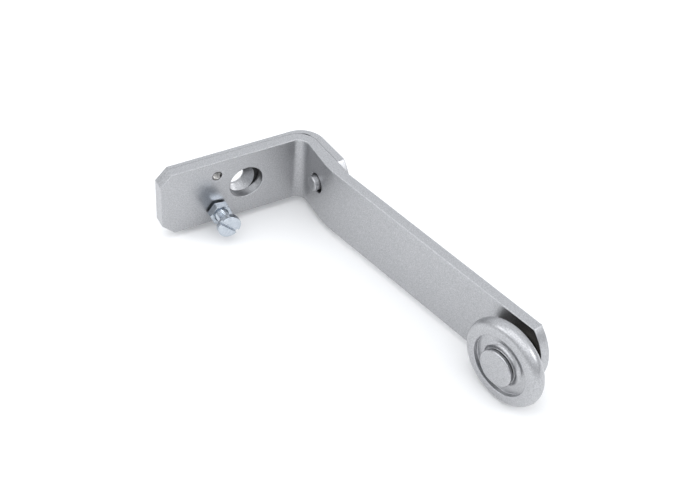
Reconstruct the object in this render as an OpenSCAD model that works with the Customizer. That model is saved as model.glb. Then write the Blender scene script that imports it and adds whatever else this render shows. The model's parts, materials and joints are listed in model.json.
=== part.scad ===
// Bent roller arm of a door closer: backing plate with mounting bush, lever with
// ball-bearing roller, adjusting screw with lock nut.  Units: millimetres.
// Frame: X along the mounting arm towards the elbow, Y to the rear, Z up.
// Origin: axis of the mounting bush on its rear face.

/* [Lever] */
// width of both flat bars
bar_h = 30; // [25:1:40]
// thickness of the lever bar
lever_t = 4.1; // [3:0.1:6]
// mounting bush axis to the inside corner of the elbow
elbow_x = 22.6; // [18:0.2:30]
// mounting bush axis to the free end of the mounting arm
arm_end = 34.4; // [30:0.2:60]
// inside radius of the elbow
elbow_r = 4.5; // [3:0.5:8]
// inside face of the cranked leg beyond the elbow
leg_x = 4.85; // [4:0.05:8]
// outward angle of the long lever
crank_a = 13; // [0:1:25]
// roller axis along the long lever
reach = 127.9; // [100:0.1:180]
// roller axis to the tip of the lever
tip = 10.2; // [8:0.1:16]
// radius of the arched bar ends
end_r = 21; // [16:1:40]
// radius of the access hole
access_r = 7.2; // [6:0.1:9]

/* [Backing plate] */
// thickness of the mounting arm of the backing plate
plate_t = 1.8; // [1.5:0.1:4]
// gap between lever and backing plate
gap = 0.1; // [0.1:0.05:0.5]
// length of the backing plate's short leg
leg_l = 24.6; // [15:0.2:30]
// radius of the mounting bush
bush_r = 10; // [9:0.5:12]
// radius of the countersunk fixing bore
bore_r = 4.3; // [3:0.1:5.5]
// radius at the mouth of the countersink
sink_r = 7.7; // [6:0.1:9]
// radius of the guide pin
pin_r = 3.25; // [2:0.05:4]

/* [Adjusting screw] */
// distance of the screw axis from the mounting bush axis
screw_x = 10.5; // [9:0.1:20]
// distance of each tapped hole from the middle between both
tap_z = 8.7; // [7:0.1:11]
// radius of the screw thread
thread_r = 2.5; // [2:0.5:4]
// shank length under the head
shank_l = 13.7; // [10:0.1:20]
// width of the lock nut across flats
nut_af = 8.5; // [8:0.1:10]
// radius of the screw head
screw_head_r = 4.9; // [4:0.1:5.5]

/* [Roller] */
// outside radius of the roller
roller_r = 17.75; // [15:0.25:22]
// radius of the rounded rim
rim_r = 3.3; // [2:0.1:5]
// middle of the rim from the face of the lever
rim_off = 7.5; // [6:0.1:12]
// radius of the front recess
recess_r = 12.35; // [11:0.05:14]
// radius of the axle head
head_r = 7.5; // [6.8:0.1:8]

/* [Hidden] */
$fn = 96;
e = 0.01;
depth = 8.3;                    // front face of the mounting arm to bush seat
mid = 0.6;                      // bar centre line above the bush axis
h2 = bar_h / 2;
out_r = elbow_r + lever_t;      // outside radius of the lever's elbow
cx = leg_x - elbow_r;
run = 0.05;                     // running clearance
bear_r = 8;                     // ball bearing 8 x 16 x 5
bear_o = 1.6;                   // bearing rear face from the lever face
bear_w = 5;
bear_f = bear_o + bear_w;
ball_c = 6;                     // ball circle
ball_r = 1.2;
clip_t = 0.7;                   // retaining ring
web_o = 9;                      // front of the roller web
boss_o = 10.9;                  // front of the boss on the web
boss_r = 6.4;                   // bore of the boss
head_o = 11.5;                  // underside of the axle head

grey = [0.70, 0.71, 0.72];
zinc = [0.72, 0.77, 0.80];
steel = [0.62, 0.62, 0.60];

// points of an arc, angles in degrees
function arc(c, r, a, b, n) =
    [for (i = [0:n]) c + r * [cos(a + (b - a) * i / n), sin(a + (b - a) * i / n)]];
// point on the long lever: s along it, o out of its inner face
function lev(s, o) = [s * sin(crank_a) - o * cos(crank_a), -s * cos(crank_a) - o * sin(crank_a)];

module at_elbow() { translate([elbow_x, -depth, mid]) children(); }
// local frame of the roller: z out of the lever's inner face, x along the lever
module at_roller() {
    at_elbow() translate([reach * sin(crank_a), -reach * cos(crank_a), 0])
        rotate([0, 0, -90 + crank_a]) rotate([90, 0, 0]) children();
}
module ring(ro, ri, z0, z1) {
    translate([0, 0, z0]) difference() {
        cylinder(r = ro, h = z1 - z0);
        translate([0, 0, -e]) cylinder(r = ri, h = z1 - z0 + 2 * e);
    }
}
// cylinder along y from y0 to y1
module ycyl(r, x, z, y0, y1) { translate([x, y1, z]) rotate([90, 0, 0]) cylinder(r = r, h = y1 - y0); }

// ---- flat bars -------------------------------------------------------------
far = reach + tip;
bend_r = 40;
bt = bend_r * tan(crank_a / 2);
by = -leg_x / tan(crank_a);     // where leg and long lever would meet
lever_plan = concat(
    [[-elbow_x - arm_end, 0], [cx, 0]],
    arc([cx, -elbow_r], elbow_r, 90, 0, 12),
    arc([leg_x + bend_r, by + bt], bend_r, 180, 180 + crank_a, 8),
    [lev(far, 0), lev(far, -lever_t - 0.2), lev(27.6, -lever_t - 0.2)],
    [[10.55, -23.6], [10.25, -19], [cx + out_r, -elbow_r]],
    arc([cx, -elbow_r], out_r, 0, 90, 16),
    [[-elbow_x - arm_end, lever_t]]);
y0 = lever_t + gap;
function lens(a) = a > 22 && a < 64 ? 0.4 * pow(sin((a - 22) * 180 / 42), 2) : 0;
plate_plan = concat(
    [[-elbow_x - arm_end, y0 + plate_t]],
    arc([1.7, y0 + plate_t - 10.4], 10.4, 90, 0, 16),
    [[12.15, -4.5], [14.4, -leg_l - 2], [11.05, -leg_l - 2], [10.8, -23.6], [10.37, -19]],
    // follows the lever's elbow, with a small lens-shaped gap in the bend
    [for (a = [0:3:90]) [cx, -elbow_r] + [cos(a), sin(a)] * (out_r + gap + lens(a))],
    [[-elbow_x - arm_end, y0]]);

// tip of a bar: everything this side of the arched end, in the bar's own direction
module tip_keep(a, s) {
    rotate([0, 0, a]) {
        translate([-80, -s + end_r - 2, -h2 - 1]) cube([120, s + 60, bar_h + 2]);
        translate([-20, -s + end_r, 0]) rotate([0, 90, 0]) cylinder(r = end_r, h = 60);
    }
}
module corner_cut(y) {
    for (s = [-1, 1]) translate([-elbow_x - arm_end, y, s * h2]) rotate([90, 0, 0])
        cylinder(r = 5, h = 20, center = true, $fn = 4);
}

module lever_arm() color(grey) at_elbow() difference() {
    intersection() {
        translate([0, 0, -h2]) linear_extrude(bar_h) polygon(lever_plan);
        tip_keep(crank_a, far);
    }
    corner_cut(0);
    ycyl(access_r, -20.4, 0.5, -1, lever_t + 1);
    for (s = [-1, 1]) ycyl(s > 0 ? thread_r - 0.4 : thread_r + run, -elbow_x - screw_x, -mid + s * tap_z,
                           -1, lever_t + 1);
    translate([0, -12.4, 0.8]) rotate([0, 90, 0]) cylinder(r = 4.2, h = 14);
    rotate([0, 0, crank_a]) translate([-1, -reach, 0]) rotate([0, 90, 0]) cylinder(r = 4, h = 8);
}

module backing_plate() color(grey) at_elbow() difference() {
    intersection() {
        translate([0, 0, -h2]) linear_extrude(bar_h) polygon(plate_plan);
        tip_keep(0, leg_l);
    }
    corner_cut(6);
    ycyl(bush_r, -elbow_x, -mid, 2, 9);
    translate([8, -12.4, 1.2]) rotate([0, 90, 0]) cylinder(r = pin_r, h = 10);
}

module mounting_bush() color(grey) at_elbow() difference() {
    union() {
        ycyl(bush_r, -elbow_x, -mid, y0, depth);
        ycyl(bush_r + 2, -elbow_x, -mid, y0 + plate_t, depth);
    }
    ycyl(bore_r, -elbow_x, -mid, y0 - 1, depth + 1);
    translate([-elbow_x, y0 + (sink_r - bore_r), -mid]) rotate([90, 0, 0])
        cylinder(r1 = bore_r, r2 = sink_r, h = sink_r - bore_r);
}

module guide_pin() color(grey) at_elbow() translate([0, -12.4, 1.2]) rotate([0, 90, 0]) {
    translate([0, 0, 2.4]) cylinder(r1 = pin_r - 0.25, r2 = pin_r, h = 0.25);
    translate([0, 0, 2.65]) cylinder(r = pin_r, h = 10.6);
}

// ---- adjusting screw -------------------------------------------------------
module at_screw() { translate([-screw_x, -depth, -tap_z]) rotate([90, 0, 0]) children(); }

module adjusting_screw() color(zinc) at_screw() difference() {
    union() {
        translate([0, 0, -lever_t]) cylinder(r1 = thread_r - 0.5, r2 = thread_r, h = 0.5);
        translate([0, 0, -lever_t + 0.5]) cylinder(r = thread_r, h = shank_l - 0.5);
        translate([0, 0, shank_l - lever_t]) {
            cylinder(r = screw_head_r, h = 2);
            translate([0, 0, 2]) cylinder(r1 = screw_head_r, r2 = screw_head_r - 0.35, h = 0.35);
        }
    }
    rotate([0, 0, -45]) translate([-6, -0.7, shank_l - lever_t + 1.15]) cube([12, 1.4, 3]);
}

module lock_nut() color(zinc) at_screw() translate([0, 0, 0.9]) rotate([0, 0, -8]) difference() {
    intersection() {
        cylinder(r = nut_af / 2 / cos(30), h = 3.2, $fn = 6);
        union() {
            cylinder(r = nut_af / 2 / cos(30) + 0.02, h = 2.8);
            translate([0, 0, 2.8]) cylinder(r1 = nut_af / 2 / cos(30) + 0.02, r2 = nut_af / 2 - 0.1, h = 0.4);
        }
    }
    translate([0, 0, -1]) cylinder(r = thread_r + run, h = 6);
    translate([0, 0, 2.6]) cylinder(r1 = thread_r + run, r2 = thread_r + 0.65, h = 0.61);
}

// ---- roller ----------------------------------------------------------------
module roller_axle() color(grey) at_roller() {
    translate([0, 0, -6.2]) cylinder(r1 = 5.2, r2 = 6, h = 0.6);
    translate([0, 0, -5.6]) cylinder(r = 6, h = 0.5);
    translate([0, 0, -5.1]) cylinder(r = 4, h = 5.1 + bear_f);
    translate([0, 0, bear_f]) cylinder(r = 4.9, h = 0.6);
    translate([0, 0, bear_f + 0.6]) cylinder(r = boss_r - 0.5, h = head_o - bear_f - 0.6);
    translate([0, 0, head_o]) cylinder(r = head_r, h = 0.9);
    translate([0, 0, head_o + 0.9]) cylinder(r1 = head_r, r2 = head_r - 0.6, h = 0.6);
}
module rivet_washer() color(grey) at_roller() ring(7.5, 4, -5.1, -lever_t - 0.2);
module spacer_collar() color(steel) at_roller() ring(4.95, 4, 0, bear_o);

// ball bearing
module groove() translate([0, 0, bear_o + bear_w / 2]) rotate_extrude()
    translate([ball_c, 0]) circle(r = ball_r + 0.02, $fn = 48);
module bearing_inner_ring() color(steel) at_roller() difference() {
    ring(5.15, 4, bear_o, bear_f);
    groove();
}
module bearing_outer_ring() color(steel) at_roller() difference() {
    ring(bear_r, 6.8, bear_o, bear_f);
    groove();
    for (z = [bear_o - e, bear_f - 0.6]) translate([0, 0, z]) cylinder(r = 7.2, h = 0.6 + e);
}
module bearing_balls() color(steel) at_roller() for (i = [0:7]) rotate([0, 0, 45 * i])
    translate([ball_c, 0, bear_o + bear_w / 2]) sphere(r = ball_r);
module bearing_cage() color(steel) at_roller() difference() {
    ring(6.4, 5.6, bear_o + 0.9, bear_f - 0.9);
    for (i = [0:7]) rotate([0, 0, 45 * i]) translate([5, 0, bear_o + bear_w / 2])
        rotate([0, 90, 0]) cylinder(r = ball_r + 0.03, h = 2);
}
module bearing_shields() color(steel) at_roller()
    for (z = [bear_o + 0.1, bear_f - 0.5]) ring(7.2, 5.45, z, z + 0.4);
module retaining_ring() color(steel) at_roller() difference() {
    ring(bear_r + 0.4, 7.1, bear_o - clip_t, bear_o);
    translate([-1.5, 5, bear_o - 2]) cube([3, 6, 4]);
}

module roller_body() color(grey) at_roller() rotate_extrude() polygon(concat(
    [[boss_r, bear_f], [boss_r, boss_o - 0.2], [boss_r + 0.2, boss_o],
     [boss_r + 0.85, boss_o], [boss_r + 1.05, boss_o - 0.2], [boss_r + 1.05, web_o + 0.5],
     [boss_r + 1.6, web_o], [recess_r, web_o],
     [recess_r, rim_off + rim_r - 0.3], [recess_r + 0.3, rim_off + rim_r]],
    arc([roller_r - rim_r, rim_off], rim_r, 90, -90, 28),
    [[recess_r, rim_off - rim_r], [bear_r + 2.4, rim_off - rim_r - 0.8],
     [bear_r + 1.8, 0.4], [bear_r, 0.4],
     [bear_r, bear_o - clip_t], [bear_r + 0.4, bear_o - clip_t], [bear_r + 0.4, bear_o],
     [bear_r, bear_o], [bear_r, bear_f]]));

backing_plate();
mounting_bush();
guide_pin();
lever_arm();
adjusting_screw();
lock_nut();
roller_axle();
rivet_washer();
spacer_collar();
bearing_inner_ring();
bearing_outer_ring();
bearing_balls();
bearing_cage();
bearing_shields();
retaining_ring();
roller_body();
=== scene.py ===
import json
import math

import bmesh
import bpy
from mathutils import Matrix, Vector


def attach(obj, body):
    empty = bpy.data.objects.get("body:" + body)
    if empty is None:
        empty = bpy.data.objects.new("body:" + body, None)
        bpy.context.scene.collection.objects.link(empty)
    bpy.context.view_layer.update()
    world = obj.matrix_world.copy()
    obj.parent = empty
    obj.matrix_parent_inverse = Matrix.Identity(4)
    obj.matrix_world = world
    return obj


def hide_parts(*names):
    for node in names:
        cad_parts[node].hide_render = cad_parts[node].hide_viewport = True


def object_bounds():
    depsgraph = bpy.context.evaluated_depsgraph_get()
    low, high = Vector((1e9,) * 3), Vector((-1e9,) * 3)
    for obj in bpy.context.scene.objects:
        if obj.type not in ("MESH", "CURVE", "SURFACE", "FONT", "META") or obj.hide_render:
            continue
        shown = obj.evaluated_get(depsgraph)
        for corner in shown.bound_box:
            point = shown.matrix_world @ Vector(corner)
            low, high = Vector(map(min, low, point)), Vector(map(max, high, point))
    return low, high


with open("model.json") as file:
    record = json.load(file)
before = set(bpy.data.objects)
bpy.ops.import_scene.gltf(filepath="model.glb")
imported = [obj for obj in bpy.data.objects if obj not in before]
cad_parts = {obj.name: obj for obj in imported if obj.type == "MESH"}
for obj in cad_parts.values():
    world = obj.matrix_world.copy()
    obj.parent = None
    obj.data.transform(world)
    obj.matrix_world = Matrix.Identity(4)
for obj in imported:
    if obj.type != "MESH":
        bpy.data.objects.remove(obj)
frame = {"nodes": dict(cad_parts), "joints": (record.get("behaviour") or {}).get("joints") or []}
cad_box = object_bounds()
nodes = frame["nodes"]
joints = {joint["name"]: joint for joint in frame["joints"]}
scene = bpy.context.scene
MM = 0.001
RAD = math.radians

# ---------------------------------------------------------------- places
# A piece is drawn in millimetres in a frame of its own, and its matrix puts it in its place in metres.
TO_M = Matrix.Scale(MM, 4)
CRANK = RAD(13)
ELBOW = Matrix.Translation((0.0226, -0.0083, 0.0006))
FACE_Y = ELBOW.translation.y
ROLLER_AT = Vector(joints["roller_spin"]["pos_m"])
ROLLER_AXIS = Vector((-math.cos(CRANK), -math.sin(CRANK), 0))


def hole_frame(x, z):
    """Frame of a hole in the lever's front face: the origin lies in the face, +Z points to the front."""
    return Matrix.Translation((x, FACE_Y, z)) @ Matrix.Rotation(RAD(90), 4, "X") @ TO_M


SCREW_X, _, SCREW_Z = joints["nut_turn"]["pos_m"]
AT_SCREW = hole_frame(SCREW_X, SCREW_Z)
AT_SPARE = hole_frame(SCREW_X, -SCREW_Z)
# the origin lies inside the bend, +Z points outwards through the short leg
AT_PIN = ELBOW @ Matrix.Translation((0, -0.0124, 0.0012)) @ Matrix.Rotation(RAD(90), 4, "Y") @ TO_M
# the origin lies in the lever's inner face, +Z points to the roller's front
AT_ROLLER = (Matrix.Translation(ROLLER_AT) @ Matrix.Rotation(CRANK - RAD(90), 4, "Z")
             @ Matrix.Rotation(RAD(90), 4, "X") @ TO_M)


# ---------------------------------------------------------------- material helpers
def new_material(name, metallic=1.0):
    mat = bpy.data.materials.new(name)
    mat.use_nodes = True
    tree = mat.node_tree
    shader = tree.nodes["Principled BSDF"]
    shader.inputs["Metallic"].default_value = metallic
    where = tree.nodes.new("ShaderNodeTexCoord").outputs["Object"]
    return mat, tree, shader, where


def noise(tree, where, scale, detail, rough, stretch=None):
    node = tree.nodes.new("ShaderNodeTexNoise")
    node.inputs["Scale"].default_value = scale
    node.inputs["Detail"].default_value = detail
    node.inputs["Roughness"].default_value = rough
    if stretch:
        mapping = tree.nodes.new("ShaderNodeMapping")
        mapping.inputs["Scale"].default_value = stretch
        tree.links.new(where, mapping.inputs["Vector"])
        where = mapping.outputs["Vector"]
    tree.links.new(where, node.inputs["Vector"])
    return node.outputs["Fac"]


def ramp(tree, fac, stops):
    """Colours at places between 0 and 1, as (place, (r, g, b)), blended by fac."""
    node = tree.nodes.new("ShaderNodeValToRGB")
    elements = node.color_ramp.elements
    while len(elements) < len(stops):
        elements.new(0.5)
    for element, (place, colour) in zip(elements, stops):
        element.position = place
        element.color = (*colour, 1)
    tree.links.new(fac, node.inputs["Fac"])
    return node.outputs["Color"]


def mapped(tree, value, low, high, start=0.3, end=0.7):
    """Goes from low to high while value goes from start to end."""
    node = tree.nodes.new("ShaderNodeMapRange")
    node.inputs["From Min"].default_value = start
    node.inputs["From Max"].default_value = end
    node.inputs["To Min"].default_value = low
    node.inputs["To Max"].default_value = high
    tree.links.new(value, node.inputs["Value"])
    return node.outputs["Result"]


def blend_colour(tree, first, second, fac, mode="MIX"):
    """Blends two colours; each of the three inputs is a socket or a plain value."""
    node = tree.nodes.new("ShaderNodeMix")
    node.data_type = "RGBA"
    node.blend_type = mode
    for socket, given in ((node.inputs[0], fac), (node.inputs[6], first), (node.inputs[7], second)):
        if isinstance(given, float):
            socket.default_value = given
        elif isinstance(given, tuple):
            socket.default_value = (*given, 1)
        else:
            tree.links.new(given, socket)
    return node.outputs[2]


def bump(tree, shader, height, strength, distance, below=None):
    node = tree.nodes.new("ShaderNodeBump")
    node.inputs["Strength"].default_value = strength
    node.inputs["Distance"].default_value = distance
    tree.links.new(height, node.inputs["Height"])
    if below is not None:
        tree.links.new(below, node.inputs["Normal"])
    tree.links.new(node.outputs["Normal"], shader.inputs["Normal"])
    return node.outputs["Normal"]


# ---------------------------------------------------------------- materials
def silver_paint(name, shaded_back=False):
    """Semi-gloss metallic lacquer: aluminium flakes under the surface, a soft orange peel on top. On the
    roller, a near-black painted shade covers its back behind the rim.
    """
    mat, tree, shader, where = new_material(name)
    flake = noise(tree, where, 2300, 3, 0.65)
    cloud = noise(tree, where, 700, 3, 0.6)
    wide = noise(tree, where, 60, 2, 0.5)
    colour = ramp(tree, flake, [(0.36, (0.352, 0.356, 0.368)), (0.50, (0.430, 0.434, 0.446)),
                                (0.64, (0.520, 0.524, 0.538))])
    patches = ramp(tree, cloud, [(0.3, (0.97, 0.97, 0.972)), (0.7, (1.03, 1.03, 1.028))])
    colour = blend_colour(tree, colour, patches, 1.0, "MULTIPLY")
    if shaded_back:
        # near-black painted shade on the back of the roller, for the shade in the gap between roller and
        # lever
        painted_shade = ramp(tree, cloud, [(0.3, (0.030, 0.028, 0.026)), (0.7, (0.060, 0.056, 0.050))])
        colour = blend_colour(tree, colour, painted_shade, shade_behind_rim(tree, where))
    tree.links.new(colour, shader.inputs["Base Color"])
    tree.links.new(mapped(tree, wide, 0.31, 0.36), shader.inputs["Roughness"])
    shader.inputs["Coat Weight"].default_value = 0.1
    shader.inputs["Coat Roughness"].default_value = 0.14
    peel = bump(tree, shader, cloud, 0.18, 0.00003)
    bump(tree, shader, flake, 0.3, 0.00002, peel)
    return mat


def shade_behind_rim(tree, where):
    """Painted shade mask: 1 on the back of the roller and 0 from its rim forwards, by the distance along the
    roller's axis.
    """
    full_below = 0.0043     # metres in front of the lever's inner face
    unshaded_from = 0.0050
    along = tree.nodes.new("ShaderNodeVectorMath")
    along.operation = "DOT_PRODUCT"
    tree.links.new(where, along.inputs[0])
    along.inputs[1].default_value = ROLLER_AXIS
    origin = ROLLER_AXIS.dot(ROLLER_AT)
    return mapped(tree, along.outputs["Value"], 1.0, 0.0, origin + full_below, origin + unshaded_from)


def zinc_plate():
    """Blue-bright zinc plating: bluish, mottled, a little cloudy, with olive spots."""
    mat, tree, shader, where = new_material("zinc_plate")
    cloud = noise(tree, where, 900, 4, 0.6)
    fine = noise(tree, where, 6000, 3, 0.6)
    spot = noise(tree, where, 1800, 5, 0.7)
    colour = ramp(tree, cloud, [(0.30, (0.44, 0.485, 0.535)), (0.52, (0.53, 0.575, 0.63)),
                                (0.75, (0.63, 0.665, 0.71))])
    colour = blend_colour(tree, colour, (0.46, 0.48, 0.43), mapped(tree, spot, 0.0, 0.25, 0.55, 0.75))
    tree.links.new(colour, shader.inputs["Base Color"])
    tree.links.new(mapped(tree, fine, 0.14, 0.28), shader.inputs["Roughness"])
    waves = bump(tree, shader, cloud, 0.3, 0.00003)
    bump(tree, shader, fine, 0.25, 0.00001, waves)
    return mat


def turned_steel(name, tone, rough):
    """Bare machined steel: fine grinding marks and faint oil clouds."""
    mat, tree, shader, where = new_material(name)
    cloud = noise(tree, where, 300, 3, 0.5)
    marks = noise(tree, where, 2500, 2, 0.5, (1, 8, 1))
    oily = (tone * 0.88, tone * 0.88, tone * 0.86)
    colour = ramp(tree, cloud, [(0.35, oily), (0.65, (tone, tone, tone * 0.985))])
    tree.links.new(colour, shader.inputs["Base Color"])
    tree.links.new(mapped(tree, marks, rough * 0.8, rough * 1.25), shader.inputs["Roughness"])
    bump(tree, shader, marks, 0.2, 0.000008)
    return mat


def cut_thread():
    """The cut thread of the spare hole: bare steel with random dark and light specks; the light specks are
    painted glints of the crests.
    """
    mat, tree, shader, where = new_material("thread_steel")
    specks_and_glints = noise(tree, where, 1900, 3, 0.7)
    fine = noise(tree, where, 5000, 2, 0.6)
    # the lightest specks are painted glints of the thread crests
    colour = ramp(tree, specks_and_glints, [(0.36, (0.16, 0.155, 0.145)), (0.48, (0.40, 0.395, 0.38)),
                                (0.58, (0.72, 0.71, 0.70))])
    tree.links.new(colour, shader.inputs["Base Color"])
    tree.links.new(mapped(tree, fine, 0.34, 0.48), shader.inputs["Roughness"])
    bump(tree, shader, fine, 0.4, 0.00003)
    return mat


PAINT = silver_paint("silver_paint")
# the roller's paint carries a near-black painted shade on its back
ROLLER_PAINT = silver_paint("roller_paint", shaded_back=True)
ZINC = zinc_plate()
BEARING = turned_steel("bearing_steel", 0.68, 0.14)
STEEL = turned_steel("plain_steel", 0.46, 0.34)
# near-black material for painted shade, used on the bush's front ring
SHADE_BLACK = turned_steel("painted_shade_black", 0.05, 0.38)
THREAD = cut_thread()


# ---------------------------------------------------------------- mesh helpers
def make(name, bm, at, mat, body, replaces=(), angle=38):
    """Makes a piece of a bmesh: in millimetres with a matrix at, or in metres with at=None."""
    bmesh.ops.remove_doubles(bm, verts=bm.verts, dist=1e-6 if at is None else 1e-4)
    bmesh.ops.recalc_face_normals(bm, faces=bm.faces)
    if at is not None:
        bmesh.ops.transform(bm, matrix=at, verts=bm.verts)
    mesh = bpy.data.meshes.new(name)
    bm.to_mesh(mesh)
    bm.free()
    piece = bpy.data.objects.new(name, mesh)
    scene.collection.objects.link(piece)
    mesh.materials.append(mat)
    smooth(mesh, angle)
    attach(piece, body)
    if replaces:
        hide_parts(*replaces)
    return piece


def smooth(mesh, angle):
    """Smooth shading, with the edges over angle degrees left sharp."""
    for face in mesh.polygons:
        face.use_smooth = True
    mesh.set_sharp_from_angle(angle=RAD(angle))


def weighted(piece):
    """Lets the large faces set the normals, so that they stay flat beside their rounded edges."""
    even = piece.modifiers.new("even", "WEIGHTED_NORMAL")
    even.keep_sharp = True
    even.weight = 90
    return piece


def arc(centre, radius, first, last, steps):
    """Points on a circle from first to last degrees, both ends included."""
    turns = [RAD(first + (last - first) * k / steps) for k in range(steps + 1)]
    return [Vector((centre[0] + radius * math.cos(t), centre[1] + radius * math.sin(t))) for t in turns]


def rounded(points, closed=False):
    """The outline through corners (r, z, fillet radius), with every fillet as a fine polyline."""
    degrees_per_step = 14
    outline = []
    count = len(points)
    for i, (r, z, fillet) in enumerate(points):
        corner = Vector((r, z))
        if not fillet or (not closed and i in (0, count - 1)):
            outline.append(corner)
            continue
        before = Vector(points[i - 1][:2]) - corner
        after = Vector(points[(i + 1) % count][:2]) - corner
        u = before.normalized()
        v = after.normalized()
        opening = u.angle(v)
        if opening > RAD(178):
            outline.append(corner)
            continue
        # the fillet takes at most 0.48 of each side, which leaves room for the next corner's
        cut = min(fillet / math.tan(opening / 2), 0.48 * before.length, 0.48 * after.length)
        radius = cut * math.tan(opening / 2)
        centre = corner + (u + v).normalized() * (radius / math.sin(opening / 2))
        start = corner + u * cut - centre
        turn = start.angle_signed(corner + v * cut - centre)
        steps = max(2, int(abs(math.degrees(turn)) / degrees_per_step))
        for j in range(steps + 1):
            c = math.cos(-turn * j / steps)
            s = math.sin(-turn * j / steps)
            outline.append(centre + Vector((start.x * c - start.y * s, start.x * s + start.y * c)))
    return outline


def lathe(profile, seg, closed=False):
    """A body of revolution about Z. A closed profile makes a ring."""
    bm = bmesh.new()
    rings = []
    for point in profile:
        if abs(point.x) < 1e-6:
            rings.append([bm.verts.new((0, 0, point.y))])
            continue
        turns = [2 * math.pi * k / seg for k in range(seg)]
        rings.append([bm.verts.new((point.x * math.cos(t), point.x * math.sin(t), point.y)) for t in turns])
    following = rings[1:] + ([rings[0]] if closed else [])
    for one, other in zip(rings, following):
        for k in range(seg):
            k2 = (k + 1) % seg
            quad = [one[k % len(one)], one[k2 % len(one)], other[k2 % len(other)], other[k % len(other)]]
            # at a pole two of the four corners are the same point
            corners = list(dict.fromkeys(quad))
            if len(corners) > 2:
                bm.faces.new(corners)
    return bm


def turned(name, profile, seg, at, mat, body, slot, *replaces, closed=False):
    """A turned piece with evened normals."""
    return weighted(make(name, lathe(profile, seg, closed), at, mat, body, replaces))


def bevelled(node, name, width, mat, body, share=None):
    """The CAD node's own shape with every sharp edge broken, width in millimetres.

    share(place) is the part of the width that an edge gets, by the place of its middle in metres."""
    sharp_angle = 24
    bm = bmesh.new()
    bm.from_mesh(nodes[node].data)
    # first the mesh loses its doubled points, its slivers and the edges inside its flat faces
    bmesh.ops.remove_doubles(bm, verts=bm.verts, dist=3e-6)
    bmesh.ops.dissolve_degenerate(bm, dist=2e-6, edges=bm.edges)
    bmesh.ops.dissolve_limit(bm, angle_limit=RAD(0.5), verts=bm.verts, edges=bm.edges)
    weight = bm.edges.layers.float.new("bevel_weight_edge")
    for edge in bm.edges:
        if len(edge.link_faces) == 2 and edge.calc_face_angle(0) > RAD(sharp_angle):
            edge[weight] = share((edge.verts[0].co + edge.verts[1].co) / 2) if share else 1.0
    piece = make(name, bm, None, mat, body, (node,), angle=60)
    edges = piece.modifiers.new("edges", "BEVEL")
    edges.limit_method = "WEIGHT"
    edges.offset_type = "OFFSET"
    edges.width = width * MM
    edges.segments = 3
    edges.profile = 0.6
    edges.use_clamp_overlap = False
    edges.harden_normals = False
    return weighted(piece)


# ---------------------------------------------------------------- flat bars
def on_seam(place):
    """True on the faces with which lever and backing plate lie against each other."""
    seam_y = 4.15           # behind the lever's front face, along the mounting arm
    bow_x, bow_y = 0.35, -4.5   # centre of the round bend
    bow_r = 8.85
    leg_x = 8.95            # the short leg's seam where the bend ends
    leg_lean = 0.09         # how far it moves outwards per millimetre down the leg
    leg_end = -24.4
    near = 0.35
    q = (place - ELBOW.translation) / MM
    if q.y < leg_end:
        return False
    if q.x < bow_x:
        return abs(q.y - seam_y) < 0.2
    if q.y > bow_y:
        return abs(math.hypot(q.x - bow_x, q.y - bow_y) - bow_r) < near
    return abs(q.x - leg_x - leg_lean * (bow_y - q.y)) < near


def lever_share(place):
    """Small edges along the seam and round the two tapped holes, full ones elsewhere."""
    if on_seam(place):
        return 0.1
    if math.hypot(place.x - SCREW_X, abs(place.z) - abs(SCREW_Z)) < 0.0033:
        return 0.25
    return 1.0


def plate_share(place):
    return 0.12 if on_seam(place) else 1.0


bevelled("lever_arm", "lever_bar", 0.42, PAINT, "lever", lever_share)
bevelled("backing_plate", "backing_bar", 0.35, PAINT, "backing", plate_share)
bush = bevelled("mounting_bush", "bush_turned", 0.25, PAINT, "backing")
bush.data.materials.append(SHADE_BLACK)
for face in bush.data.polygons:
    # the front ring round the countersink gets a near-black painted shade, for the shaded gap behind the
    # lever's hole
    if face.normal.y < -0.9 and face.center.y < -0.0035:
        face.material_index = 1
bevelled("lock_nut", "hex_nut", 0.16, ZINC, "nut")

# ---------------------------------------------------------------- threads and screw
PITCH = 0.8
SCREW_R = 2.5
CORE_R = 2.06
SPARE_CREST_R = 1.74    # the nut thread's crests, nearest to the axis
SPARE_ROOT_R = 2.09
SCREW_TIP = -4.1        # in the lever's rear face, close to the backing plate
HEAD_R = 4.9
HEAD_BACK = 9.6
HEAD_FRONT = 11.95
SLOT_W = 1.4
SLOT_DEPTH = 1.2


def thread_form(inner, outer, land):
    """One pitch of a V thread as (r, z): land is half the flat at the inner radius."""
    half = PITCH / 2
    return [(inner, 0.0), (inner, land), (outer - 0.03, half - 0.04), (outer, half),
            (outer - 0.03, half + 0.04), (inner, PITCH - land), (inner, PITCH)]


def helix(form, turns, start):
    """A thread form swept along its helix about Z, from the height start."""
    seg = 64
    bm = bmesh.new()
    rows = []
    for i in range(int(turns * seg) + 1):
        t = 2 * math.pi * i / seg
        rows.append([bm.verts.new((r * math.cos(t), r * math.sin(t), start + PITCH * i / seg + z))
                     for r, z in form])
    for one, other in zip(rows, rows[1:]):
        for k in range(len(form) - 1):
            bm.faces.new((one[k], one[k + 1], other[k + 1], other[k]))
    return bm


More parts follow.
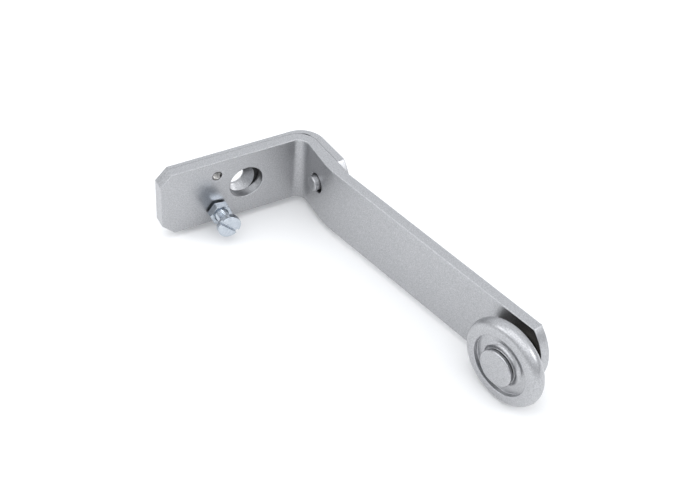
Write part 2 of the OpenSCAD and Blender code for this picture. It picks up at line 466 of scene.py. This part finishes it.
def slotted_head():
    """A cheese head with a slot cut by a boolean, set at 45 degrees."""
    profile = rounded([(0, HEAD_BACK, 0), (HEAD_R, HEAD_BACK, 0.15), (HEAD_R, HEAD_FRONT, 0.35),
                       (0, HEAD_FRONT, 0)])
    bm = lathe(profile, 96)
    head = make("screw_head", bm, AT_SCREW, ZINC, "screw", ("adjusting_screw",))
    cutter_l, cutter_h = 14, 6
    bm = bmesh.new()
    bmesh.ops.create_cube(bm, size=1)
    place = (AT_SCREW @ Matrix.Rotation(RAD(-45), 4, "Z")
             @ Matrix.Translation((0, 0, HEAD_FRONT - SLOT_DEPTH + cutter_h / 2)))
    bmesh.ops.transform(bm, verts=bm.verts, matrix=place @ Matrix.Diagonal((cutter_l, SLOT_W, cutter_h, 1)))
    mesh = bpy.data.meshes.new("slot_cutter")
    bm.to_mesh(mesh)
    bm.free()
    cutter = bpy.data.objects.new("slot_cutter", mesh)
    scene.collection.objects.link(cutter)
    slot = head.modifiers.new("slot", "BOOLEAN")
    slot.operation = "DIFFERENCE"
    slot.solver = "EXACT"
    slot.object = cutter
    bpy.context.view_layer.update()
    cut = bpy.data.meshes.new_from_object(head.evaluated_get(bpy.context.evaluated_depsgraph_get()))
    head.modifiers.clear()
    head.data = cut
    bpy.data.objects.remove(cutter)
    smooth(cut, 38)
    edges = head.modifiers.new("edges", "BEVEL")
    edges.limit_method = "ANGLE"
    edges.angle_limit = RAD(50)
    edges.width = 0.09 * MM
    edges.segments = 2
    edges.use_clamp_overlap = False
    weighted(head)


make("spare_thread_form", helix(thread_form(SPARE_CREST_R, SPARE_ROOT_R, 0.10), 3.9, -4.0),
     AT_SPARE, THREAD, "lever", angle=50)
make("screw_thread", helix(thread_form(CORE_R, SCREW_R, 0.12), 15.2, -3.8),
     AT_SCREW, ZINC, "screw", angle=50)
core = rounded([(0, SCREW_TIP, 0), (1.9, SCREW_TIP, 0.2), (2.2, -3.7, 0.2), (CORE_R + 0.03, -3.4, 0),
                (CORE_R + 0.03, 8.7, 0.1), (2.4, 9.0, 0.2), (SCREW_R, 9.8, 0)])
make("screw_core", lathe(core, 64), AT_SCREW, ZINC, "screw")
slotted_head()

# ---------------------------------------------------------------- guide pin
PIN_R = 3.25
PIN_IN = 2.42           # the end inside the bend
PIN_OUT = 13.25         # the riveted end
pin = rounded([(0, PIN_IN, 0), (PIN_R - 0.95, PIN_IN, 0.4), (PIN_R - 0.25, PIN_IN + 0.13, 0.35),
               (PIN_R, PIN_IN + 0.53, 0.3), (PIN_R, PIN_OUT - 0.35, 0.25), (PIN_R - 0.35, PIN_OUT, 0.3),
               (0, PIN_OUT, 0)])
turned("pin_rivet", pin, 96, AT_PIN, PAINT, "backing", "silver_paint", "guide_pin")

# ---------------------------------------------------------------- roller and axle
ROLLER_R = 17.75
RIM_R = 3.3             # radius of the rim's rounding
RIM_MID = 7.5           # height of the rim's middle
RECESS_R = 12.35
WEB_FRONT = 9.0
BOSS_R = 7.52
BOSS_FRONT = 10.9
FILLET_R = 1.68         # the hollow between boss and web
BORE_R = 6.4            # the hole round the axle's neck
BEARING_R = 8.0
BEARING_BACK = 1.6
BEARING_FRONT = 6.6
GROOVE_R = 8.4          # the retaining ring's groove
ROLLER_BACK = 0.4
AXLE_R = 4.0
AXLE_HEAD_R = 7.5
AXLE_HEAD_BACK = 11.5
AXLE_FRONT = 13.0
NECK_R = 5.9
SHOULDER_R = 4.9        # what holds the bearing's inner ring
SHOULDER_FRONT = 7.2
WASHER_R = 7.5
WASHER_FRONT = -4.3
WASHER_BACK = -5.1
RIVET_R = 6.0
RIVET_BACK = -6.2

rim_x = ROLLER_R - RIM_R
rim_front = RIM_MID + RIM_R
rim_back = RIM_MID - RIM_R
boss = rounded([(BORE_R, BEARING_FRONT, 0), (BORE_R, BOSS_FRONT, 0.2), (BOSS_R - 0.1, BOSS_FRONT, 0.25),
                (BOSS_R, BOSS_FRONT - 0.4, 0)])
hollow = arc((BOSS_R + FILLET_R, WEB_FRONT + FILLET_R), FILLET_R, 190, 270, 8)
recess = rounded([(9.4, WEB_FRONT, 0), (RECESS_R, WEB_FRONT, 0.3), (RECESS_R, rim_front, 0.35),
                  (13.2, rim_front, 0)])
rim = arc((rim_x, RIM_MID), RIM_R, 90, -90, 40)
back = rounded([(rim_x, rim_back, 0), (RECESS_R, rim_back, 0.4), (10.4, 3.4, 0.6), (9.8, ROLLER_BACK, 0.25),
                (BEARING_R + 0.02, ROLLER_BACK, 0.1), (BEARING_R + 0.02, 0.88, 0), (GROOVE_R, 0.9, 0),
                (GROOVE_R, BEARING_BACK, 0), (BEARING_R, BEARING_BACK, 0), (BEARING_R, BEARING_FRONT, 0)])
turned("roller_wheel", boss + hollow + recess + rim + back[1:], 192, AT_ROLLER, ROLLER_PAINT, "roller",
       "silver_paint", "roller_body", closed=True)

axle = rounded([(0, AXLE_FRONT, 0), (AXLE_HEAD_R, AXLE_FRONT, 0.75), (AXLE_HEAD_R, AXLE_HEAD_BACK, 0.12),
                (NECK_R, AXLE_HEAD_BACK, 0.1), (NECK_R, SHOULDER_FRONT, 0.1),
                (SHOULDER_R, SHOULDER_FRONT, 0.1), (SHOULDER_R, BEARING_FRONT, 0.05),
                (AXLE_R, BEARING_FRONT, 0.05), (AXLE_R, WASHER_BACK, 0.05), (RIVET_R, WASHER_BACK, 0.1),
                (RIVET_R, WASHER_BACK - 0.4, 0.2), (5.2, RIVET_BACK + 0.05, 0.4), (2.6, RIVET_BACK, 1.0),
                (0, RIVET_BACK, 0)])
turned("axle_rivet", axle, 144, AT_ROLLER, PAINT, "lever", "silver_paint", "roller_axle")

washer = rounded([(AXLE_R, WASHER_BACK, 0.08), (WASHER_R, WASHER_BACK, 0.25), (WASHER_R, WASHER_FRONT, 0.08),
                  (AXLE_R, WASHER_FRONT, 0.05)], closed=True)
turned("washer_pressed", washer, 120, AT_ROLLER, PAINT, "lever", "silver_paint", "rivet_washer", closed=True)

# ---------------------------------------------------------------- bearing: the CAD shapes in real metals
for node_name, metal in (("spacer_collar", STEEL), ("bearing_inner_ring", BEARING),
                         ("bearing_outer_ring", BEARING), ("bearing_balls", BEARING),
                         ("bearing_cage", STEEL), ("bearing_shields", STEEL), ("retaining_ring", STEEL)):
    slots = nodes[node_name].data.materials
    slots.clear()
    slots.append(metal)


# ---------------------------------------------------------------- stage and light
def white_floor():
    bm = bmesh.new()
    bmesh.ops.create_grid(bm, x_segments=1, y_segments=1, size=3)
    mesh = bpy.data.meshes.new("floor")
    bm.to_mesh(mesh)
    bm.free()
    mat, _, shader, _ = new_material("floor_white", metallic=0.0)
    shader.inputs["Base Color"].default_value = (0.93, 0.93, 0.93, 1)
    shader.inputs["Roughness"].default_value = 0.9
    shader.inputs["Specular IOR Level"].default_value = 0.1
    mesh.materials.append(mat)
    floor = bpy.data.objects.new("floor", mesh)
    # 0.2 mm under the object, so that the two never share a face
    floor.location = (0, 0, cad_box[0].z - 0.0002)
    scene.collection.objects.link(floor)


def soft_box(name, place, size, power):
    """A rectangular soft light that faces the middle of the object."""
    aim = Vector((0.02, -0.07, 0.0))
    light = bpy.data.lights.new(name, "AREA")
    light.shape = "RECTANGLE"
    light.size, light.size_y = size
    light.energy = power
    lamp = bpy.data.objects.new(name, light)
    scene.collection.objects.link(lamp)
    lamp.location = place
    lamp.rotation_mode = "QUATERNION"
    lamp.rotation_quaternion = (aim - Vector(place)).to_track_quat("-Z", "Y")


def light_tent():
    """A soft tent all round: darker towards the horizon, bright above."""
    world = bpy.data.worlds.new("studio")
    scene.world = world
    world.use_nodes = True
    tree = world.node_tree
    background = tree.nodes["Background"]
    direction = tree.nodes.new("ShaderNodeTexCoord").outputs["Generated"]
    split = tree.nodes.new("ShaderNodeSeparateXYZ")
    tree.links.new(direction, split.inputs["Vector"])
    sky = ramp(tree, split.outputs["Z"], [(0.0, (0.42, 0.43, 0.445)), (0.45, (1.0, 1.02, 1.05))])
    tree.links.new(sky, background.inputs["Color"])
    background.inputs["Strength"].default_value = 1.14


white_floor()
soft_box("top_soft", (-0.25, -0.25, 0.95), (1.2, 1.0), 3)
soft_box("left_soft", (-0.80, 0.28, 0.52), (0.5, 0.4), 1.1)
soft_box("right_soft", (0.56, -0.72, 0.62), (0.5, 0.4), 1.5)
light_tent()

# ---------------------------------------------------------------- camera
CAMERA_AT = (-0.18009, -0.38484, 0.36063)
AZIMUTH = RAD(31.837)
ELEVATION = RAD(43.301)
ROLL = RAD(4.804)
FOCAL_MM = 70.366

backwards = Vector((-math.sin(AZIMUTH) * math.cos(ELEVATION), -math.cos(AZIMUTH) * math.cos(ELEVATION),
                    math.sin(ELEVATION)))
level = Vector((0, 0, 1)).cross(backwards).normalized()
upright = backwards.cross(level)
across = level * math.cos(ROLL) + upright * math.sin(ROLL)
upwards = upright * math.cos(ROLL) - level * math.sin(ROLL)
lens = bpy.data.cameras.new("camera")
lens.sensor_width = 36
lens.lens = FOCAL_MM
lens.clip_start = 0.01
lens.clip_end = 20
camera = bpy.data.objects.new("camera", lens)
scene.collection.objects.link(camera)
camera.matrix_world = (Matrix.Translation(CAMERA_AT)
                       @ Matrix((across, upwards, backwards)).transposed().to_4x4())
scene.camera = camera

scene.view_settings.view_transform = "Standard"
scene.view_settings.look = "None"
scene.view_settings.exposure = 0
scene.view_settings.gamma = 1
